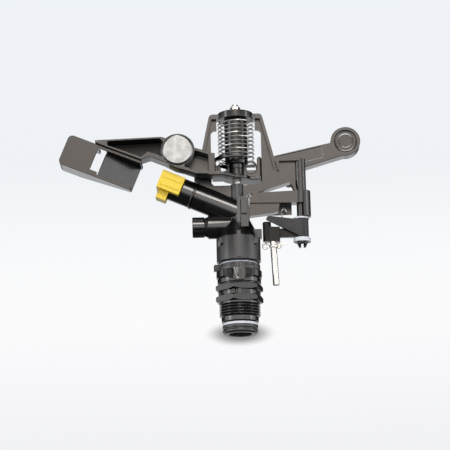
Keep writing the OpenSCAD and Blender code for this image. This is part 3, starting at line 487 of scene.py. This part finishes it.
@dataclass
class Studio:
    """Camera, lamps, world and floor."""

    target: Point = (-8.36 * MM, 0.0, 52.0 * MM)
    distance: float = 1.25
    rise_deg: float = 13.5
    lean_deg: float = 1.325
    lens: float = 154.56
    floor_z: float = -20.1 * MM
    shade_at: Point = (0.0, 0.03, -14.0 * MM)
    shade_wide: float = 25.0 * MM
    shade_high: float = 9.5 * MM
    horizon_back: float = 0.1
    base_tone: Colour = (0.05, 0.05, 0.052)
    behind_tone: Colour = (1.2, 1.2, 1.23)
    horizon_tone: Colour = (1.9, 1.9, 1.94)
    front_tone: Colour = (1.95, 1.7, 1.5)
    seen_stops: tuple[tuple[float, Colour], ...] = (
        (0.0, (0.86, 0.865, 0.905)), (0.3, (0.965, 0.965, 0.975)), (0.42, (0.955, 0.96, 0.97)),
        (0.62, (0.86, 0.89, 0.92)), (1.0, (0.87, 0.895, 0.925)),
    )

    def camera(self) -> None:
        """Places the camera below the object's middle, looking slightly up."""
        data = bpy.data.cameras.new("camera")
        data.lens = self.lens
        data.sensor_width = 36.0
        data.clip_end = 20.0
        obj = bpy.data.objects.new("camera", data)
        bpy.context.scene.collection.objects.link(obj)
        rise, lean = math.radians(self.rise_deg), math.radians(self.lean_deg)
        forward = Vector((0.0, math.cos(rise), math.sin(rise)))
        side, up = Vector((1.0, 0.0, 0.0)), Vector((0.0, -math.sin(rise), math.cos(rise)))
        right = side * math.cos(lean) - up * math.sin(lean)
        top = side * math.sin(lean) + up * math.cos(lean)
        turn = Matrix((right, top, -forward)).transposed().to_4x4()
        obj.matrix_world = Matrix.Translation(Vector(self.target) - forward * self.distance) @ turn
        bpy.context.scene.camera = obj

    def lamp(self, name: str, place: Point, aim: Point, size: tuple[float, float], power: float,
             colour: Colour) -> None:
        """Adds a rectangular area lamp that looks at a point."""
        data = bpy.data.lights.new(name, "AREA")
        data.shape = "RECTANGLE"
        data.size, data.size_y = size
        data.energy = power
        data.color = colour
        obj = bpy.data.objects.new(name, data)
        bpy.context.scene.collection.objects.link(obj)
        obj.location = place
        obj.rotation_euler = (Vector(aim) - Vector(place)).to_track_quat("-Z", "Y").to_euler()

    def lamps(self) -> None:
        """Lights the object from a wide warm front, a cool left, a right strip and above."""
        middle = (0.0, 0.0, 0.06)
        self.lamp("front_box", (0.1, -1.5, 1.1), middle, (0.8, 0.5), 14.0, (1.0, 0.96, 0.92))
        self.lamp("left_box", (-1.25, -0.55, 0.35), middle, (0.2, 0.9), 3.0, (0.92, 0.97, 1.0))
        self.lamp("right_strip", (1.2, -0.35, 0.3), middle, (0.15, 0.9), 2.0, (1.0, 0.97, 0.94))
        self.lamp("top_box", (-0.1, 0.0, 1.2), middle, (0.6, 0.3), 4.0, (0.97, 0.985, 1.0))

    def world(self) -> None:
        """Soft surround: pale to the camera; a grey horizon and a warm front for the gloss."""
        world = bpy.data.worlds.new("studio")
        bpy.context.scene.world = world
        world.use_nodes = True
        sky = Graph(world.node_tree)
        coords = sky.node("TexCoord")
        x, y, z = sky.axes(Sock(sky, coords.outputs["Generated"]))
        near = 1.0 - sky.ramp(y, self.horizon_back, self.horizon_back + 0.35)
        horizon = sky.ramp(z, -0.32, -0.02) * (1.0 - sky.ramp(z, 0.16, 0.32)) * near
        behind = sky.ramp(z, -0.5, -0.3) * (1.0 - sky.ramp(z, -0.06, 0.04)) * sky.ramp(y, 0.3, 0.6)
        front = sky.ramp(z, 0.08, 0.13) * (1.0 - sky.ramp(z, 0.3, 0.42)) * (1.0 - sky.ramp(y, -0.5, -0.1))
        front = front * (1.0 - sky.ramp(sky.maths("ABSOLUTE", x), 0.16, 0.4))
        tone = sky.blend(behind, self.base_tone, self.behind_tone)
        tone = sky.blend(horizon, tone, self.horizon_tone)
        tone = sky.blend(front, tone, self.front_tone)
        gloss = sky.node("Background", Color=tone)
        rise = Sock(sky, sky.node("MapRange", Value=z, From_Min=0.105, From_Max=0.36).outputs[0])
        ramp = sky.node("ValToRGB", {"stops": self.seen_stops}, Fac=rise)
        seen = sky.node("Background", Color=Sock(sky, ramp.outputs[0]))
        path = sky.node("LightPath")
        mix = sky.node("MixShader", None, i0=Sock(sky, path.outputs["Is Camera Ray"]),
                       i1=Sock(sky, gloss.outputs[0]), i2=Sock(sky, seen.outputs[0]))
        sky.tree.links.new(mix.outputs[0], sky.tree.nodes["World Output"].inputs[0])

    def floor(self) -> None:
        """Lays a pale floor that is seen only from above."""
        Bench.clear()
        bpy.ops.mesh.primitive_plane_add(size=6.0, location=(0.0, 0.0, self.floor_z))
        obj = bpy.context.object
        obj.name = "studio_floor"
        Bench.settle(obj)
        shade = Shade("pale_floor")
        shade.feed(shade.shader.inputs["Roughness"], 0.7)
        tone = shade.noise(3.0)
        shade.feed(shade.shader.inputs["Base Color"],
                   shade.blend(tone, (0.8, 0.815, 0.84), (0.84, 0.85, 0.87)))
        shade.feed(shade.shader.inputs["Emission Color"], (0.82, 0.835, 0.86))
        shade.feed(shade.shader.inputs["Emission Strength"], 0.4)
        geometry = shade.node("NewGeometry")
        clear = shade.node("BsdfTransparent")
        mix = shade.node("MixShader", None, i0=Sock(shade, geometry.outputs["Backfacing"]),
                         i1=Sock(shade, shade.shader.outputs[0]), i2=Sock(shade, clear.outputs[0]))
        shade.tree.links.new(mix.outputs[0], shade.output.inputs[0])
        obj.data.materials.append(shade.material)
        obj.visible_glossy = obj.visible_diffuse = False

    def contact_shade(self) -> None:
        """Sets a soft dark oval behind the foot, where it meets the floor."""
        Bench.clear()
        bpy.ops.mesh.primitive_plane_add(size=0.08, location=(0.0, 0.0, 0.0),
                                         rotation=(math.pi / 2, 0.0, 0.0))
        obj = bpy.context.object
        obj.name = "studio_contact_shade"
        Bench.settle(obj)
        Bench.edit_all(obj)
        bpy.ops.transform.translate(value=self.shade_at)
        bpy.ops.object.mode_set(mode="OBJECT")
        shade = Shade("contact_shade")
        x, _, z = shade.axes(shade.place())
        wide, high = x * (1.0 / self.shade_wide), (z - self.shade_at[2]) * (1.0 / self.shade_high)
        oval = 1.0 - shade.ramp(shade.maths("SQRT", wide * wide + high * high), 0.3, 1.0)
        shade.feed(shade.shader.inputs["Base Color"], (0.02, 0.02, 0.022))
        shade.feed(shade.shader.inputs["Roughness"], 1.0)
        shade.feed(shade.shader.inputs["Specular IOR Level"], 0.0)
        aslant = Sock(shade, shade.node("LayerWeight").outputs["Facing"])
        behind = Sock(shade, shade.node("NewGeometry").outputs["Backfacing"])
        seen = (1.0 - shade.ramp(aslant, 0.04, 0.12)) * (1.0 - behind)
        shade.feed(shade.shader.inputs["Alpha"], oval * seen * 0.72)
        obj.data.materials.append(shade.material)
        obj.visible_shadow = obj.visible_glossy = obj.visible_diffuse = False

    def build(self) -> None:
        """Sets the whole studio."""
        bpy.context.scene.view_settings.view_transform = "Standard"
        self.camera()
        self.lamps()
        self.world()
        self.floor()
        self.contact_shade()


# ---------- Sub-assemblies ----------


@dataclass
class Inlet:
    """Threaded inlet with its bearing nut and the parts inside it."""

    edge_mm: float = 0.25

    def build(self) -> None:
        """Dresses the inlet."""
        rounded("inlet_nipple", Body.INLET, BLACK, 0.16)
        rounded("bearing_nut", Body.INLET, BLACK, self.edge_mm)
        rounded("bearing_seal", Body.INLET, RUBBER, 0.15)
        rounded("bearing_spring", Body.INLET, STAINLESS, 0.1)


@dataclass
class Collars:
    """Friction collars that limit the turn."""

    edge_mm: float = 0.25

    def build(self) -> None:
        """Dresses both collars."""
        obj = rounded("lower_collar", Body.COLLAR_LOW, BLACK, self.edge_mm)
        # Painted shade in the lower collar's front pockets.
        darken_faces(obj, SHADE_DULL_BLACK, lambda c, n: 3.9 < abs(c.x) < 10.2 and c.y < -10.5 and n.y < -0.6)
        rounded("upper_collar", Body.COLLAR_HIGH, LIT_GREY, self.edge_mm)


@dataclass
class Rotor:
    """Turning body with its nozzle, bridge, pin and trip bracket."""

    edge_mm: float = 0.35

    def build(self) -> None:
        """Dresses the rotor's nodes."""
        for node, finish, width in (
            ("bearing_sleeve", LIT_GREY, 0.2), ("foot_washer", WHITE, 0.2), ("spacer_ring", WHITE, 0.2),
            ("main_body", LIT_GREY, self.edge_mm), ("nozzle_sleeve", BLACK, 0.3),
            ("main_nozzle", YELLOW, 0.18), ("stream_vane", WHITE, 0.15), ("rear_plug", BLACK, 0.2),
            ("plug_seal", RUBBER, 0.2), ("bridge_frame", SHEEN_BROWN, self.edge_mm),
            ("spring_cap", BLACK, 0.2), ("fulcrum_pin", STAINLESS, 0.2), ("pin_nut", STAINLESS, 0.2),
            ("trip_bracket", SHEEN_BROWN, self.edge_mm), ("trip_pin", BLACK, 0.2),
            ("upper_lever_washer", WHITE, 0.2), ("lower_lever_washer", WHITE, 0.2),
        ):
            obj = rounded(node, Body.ROTOR, finish, width)
            if node == "main_body":
                self.darken_body_faces(obj)

    @staticmethod
    def darken_body_faces(obj: bpy.types.Object) -> None:
        """Gives the barrel and port the plain glossy black, darker than the body's painted-light grey, and
        paints shade on the stub and the shoulder in the dull black.
        """
        darken_faces(obj, BLACK, lambda c, n: c.x < -7.5 and c.z > 42.0)
        # Painted shade on the stub at the body's right.
        darken_faces(obj, SHADE_DULL_BLACK, lambda c, n: c.x > 12.8 and c.z > 41.0)
        # Painted shade on the shoulder's upward faces between neck and skirt.
        darken_faces(obj, SHADE_DULL_BLACK, lambda c, n: abs(c.x) < 13.0 and 42.6 < c.z < 52.0 and n.z > 0.15)


@dataclass
class DriveArm:
    """Swinging arm with its spoon, weights, bush and spring; places in millimetres."""

    edge_mm: float = 0.4
    badge_at: Point = (71.9, 5.0, 107.85)
    badge_r: float = 6.9
    badge_thick: float = 0.7
    badge_back: float = 0.1
    badge_steps: tuple[tuple[float, float], ...] = ((0.9, 0.3), (1.5, -0.3), (0.8, 0.3))
    badge_round: float = 0.12
    frame_at: Point = (41.8, 4.5, 97.7)
    frame_size: tuple[float, float] = (30.5, 8.2)
    frame_tilt_deg: float = 12.0
    frame_thick: float = 0.5
    frame_lip: float = 0.6
    frame_sink: float = 0.44
    frame_round: float = 0.1
    rims: tuple[tuple[str, Point, float], ...] = (
        ("left_hole_rim", (-8.7, -1.0, 89.7), 4.0), ("right_hole_rim", (9.6, -1.0, 89.8), 4.2),
    )
    rim_width: float = 0.9
    rim_depth: float = 0.9
    rim_round: float = 0.2

    def build(self) -> None:
        """Dresses the arm's nodes."""
        for node, finish, width in (
            ("drive_arm", SHEEN_BROWN, self.edge_mm), ("spoon", BLACK, 0.3), ("arm_tail", SHEEN_BROWN, 0.35),
            ("strike_pad", BLACK, 0.3), ("arm_weight", ZINC, 0.2), ("tail_weight", ZINC, 0.2),
            ("lower_bush", BUSH, 0.15), ("spring_core", BLACK, 0.2), ("arm_spring", SPRING, 0.0),
        ):
            obj = rounded(node, Body.ARM, finish, width)
            if node == "drive_arm":
                # Painted shade on the arm's undersides and on a strip of faces at its left end.
                darken_faces(obj, SHADE_DULL_BLACK, lambda c, n: n.z < -0.85 or c.x < -47.0 and -8.0 < c.y < -6.0)
        self.tail_badge()
        self.tail_frame()
        self.hole_rims()

    def tail_badge(self) -> None:
        """A plain dished badge in the sunk disc of the tail's end."""
        x, y, z = self.badge_at
        Bench.clear()
        bpy.ops.mesh.primitive_cylinder_add(vertices=64, radius=self.badge_r * MM,
                                            depth=self.badge_thick * MM,
                                            rotation=(math.pi / 2, 0.0, 0.0),
                                            location=(x * MM, (y + self.badge_back) * MM, z * MM))
        obj = bpy.context.object
        obj.name = "tail_badge"
        Bench.settle(obj)
        for inset, sink in self.badge_steps:
            Bench.edit_faces(obj, lambda c, n: n.y < FRONT_LIMIT
                             and (c.xz - Vector((x, z)) * MM).length < 0.5 * MM)
            bpy.ops.mesh.inset(thickness=inset * MM)
            bpy.ops.transform.translate(value=(0.0, sink * MM, 0.0))
            bpy.ops.object.mode_set(mode="OBJECT")
        Bench.apply(obj, "BEVEL", width=self.badge_round * MM, segments=TRIM_SEGMENTS,
                    limit_method="ANGLE")
        Bench.smooth(obj)
        Piece(obj, BLACK, Body.ARM).hand_over()

    def tail_frame(self) -> None:
        """A plain empty frame on the tail's face."""
        Bench.clear()
        bpy.ops.mesh.primitive_cube_add(size=1.0, location=(0.0, 0.0, 0.0))
        obj = bpy.context.object
        obj.name = "tail_frame"
        obj.scale = (self.frame_size[0] * MM, self.frame_thick * MM,
                     self.frame_size[1] * MM)
        obj.rotation_euler = (0.0, math.radians(-self.frame_tilt_deg), 0.0)
        obj.location = [v * MM for v in self.frame_at]
        Bench.settle(obj)
        Bench.edit_faces(obj, lambda c, n: n.y < FRONT_LIMIT)
        bpy.ops.mesh.inset(thickness=self.frame_lip * MM)
        bpy.ops.transform.translate(value=(0.0, self.frame_sink * MM, 0.0))
        bpy.ops.object.mode_set(mode="OBJECT")
        Bench.apply(obj, "BEVEL", width=self.frame_round * MM, segments=TRIM_SEGMENTS,
                    limit_method="ANGLE")
        Bench.smooth(obj)
        Piece(obj, BLACK, Body.ARM).hand_over()

    def hole_rims(self) -> None:
        """Raised rims round the two holes in the hub's webs."""
        for name, (x, y, z), radius in self.rims:
            Bench.clear()
            bpy.ops.mesh.primitive_circle_add(vertices=48, radius=radius * MM, fill_type="NGON",
                                              rotation=(math.pi / 2, 0.0, 0.0),
                                              location=(x * MM, y * MM, z * MM))
            obj = bpy.context.object
            obj.name = name
            Bench.settle(obj)
            Bench.edit_all(obj)
            bpy.ops.mesh.inset(thickness=self.rim_width * MM)
            bpy.ops.mesh.delete(type="FACE")
            bpy.ops.object.mode_set(mode="OBJECT")
            Bench.apply(obj, "SOLIDIFY", thickness=self.rim_depth * MM, offset=0.0)
            Bench.apply(obj, "BEVEL", width=self.rim_round * MM, segments=TRIM_SEGMENTS,
                        limit_method="ANGLE")
            Bench.smooth(obj)
            Piece(obj, BLACK, Body.ARM).hand_over()


@dataclass
class TripGroup:
    """Trip lever, rod, clip and the lever that reverses the turn."""

    edge_mm: float = 0.25

    def build(self) -> None:
        """Dresses the tripping parts."""
        for node, body, finish, width in (
            ("trip_lever", Body.TRIPPER, SHADE_DULL_BLACK, self.edge_mm), ("trip_rod", Body.TRIPPER, STAINLESS, 0.2),
            ("rod_clip", Body.TRIPPER, STAINLESS, 0.1), ("toggle_spring", Body.TRIPPER, SPRING, 0.0),
            ("reversing_lever", Body.REVERSER, LEVER_GREY, self.edge_mm),
        ):
            rounded(node, body, finish, width)


def main() -> None:
    """Builds every sub-assembly in order, then the studio."""
    logging.basicConfig(level=logging.INFO, format="%(message)s")
    for part in (Inlet(), Collars(), Rotor(), DriveArm(), TripGroup(), Studio()):
        part.build()


if __name__ == "__main__":
    main()
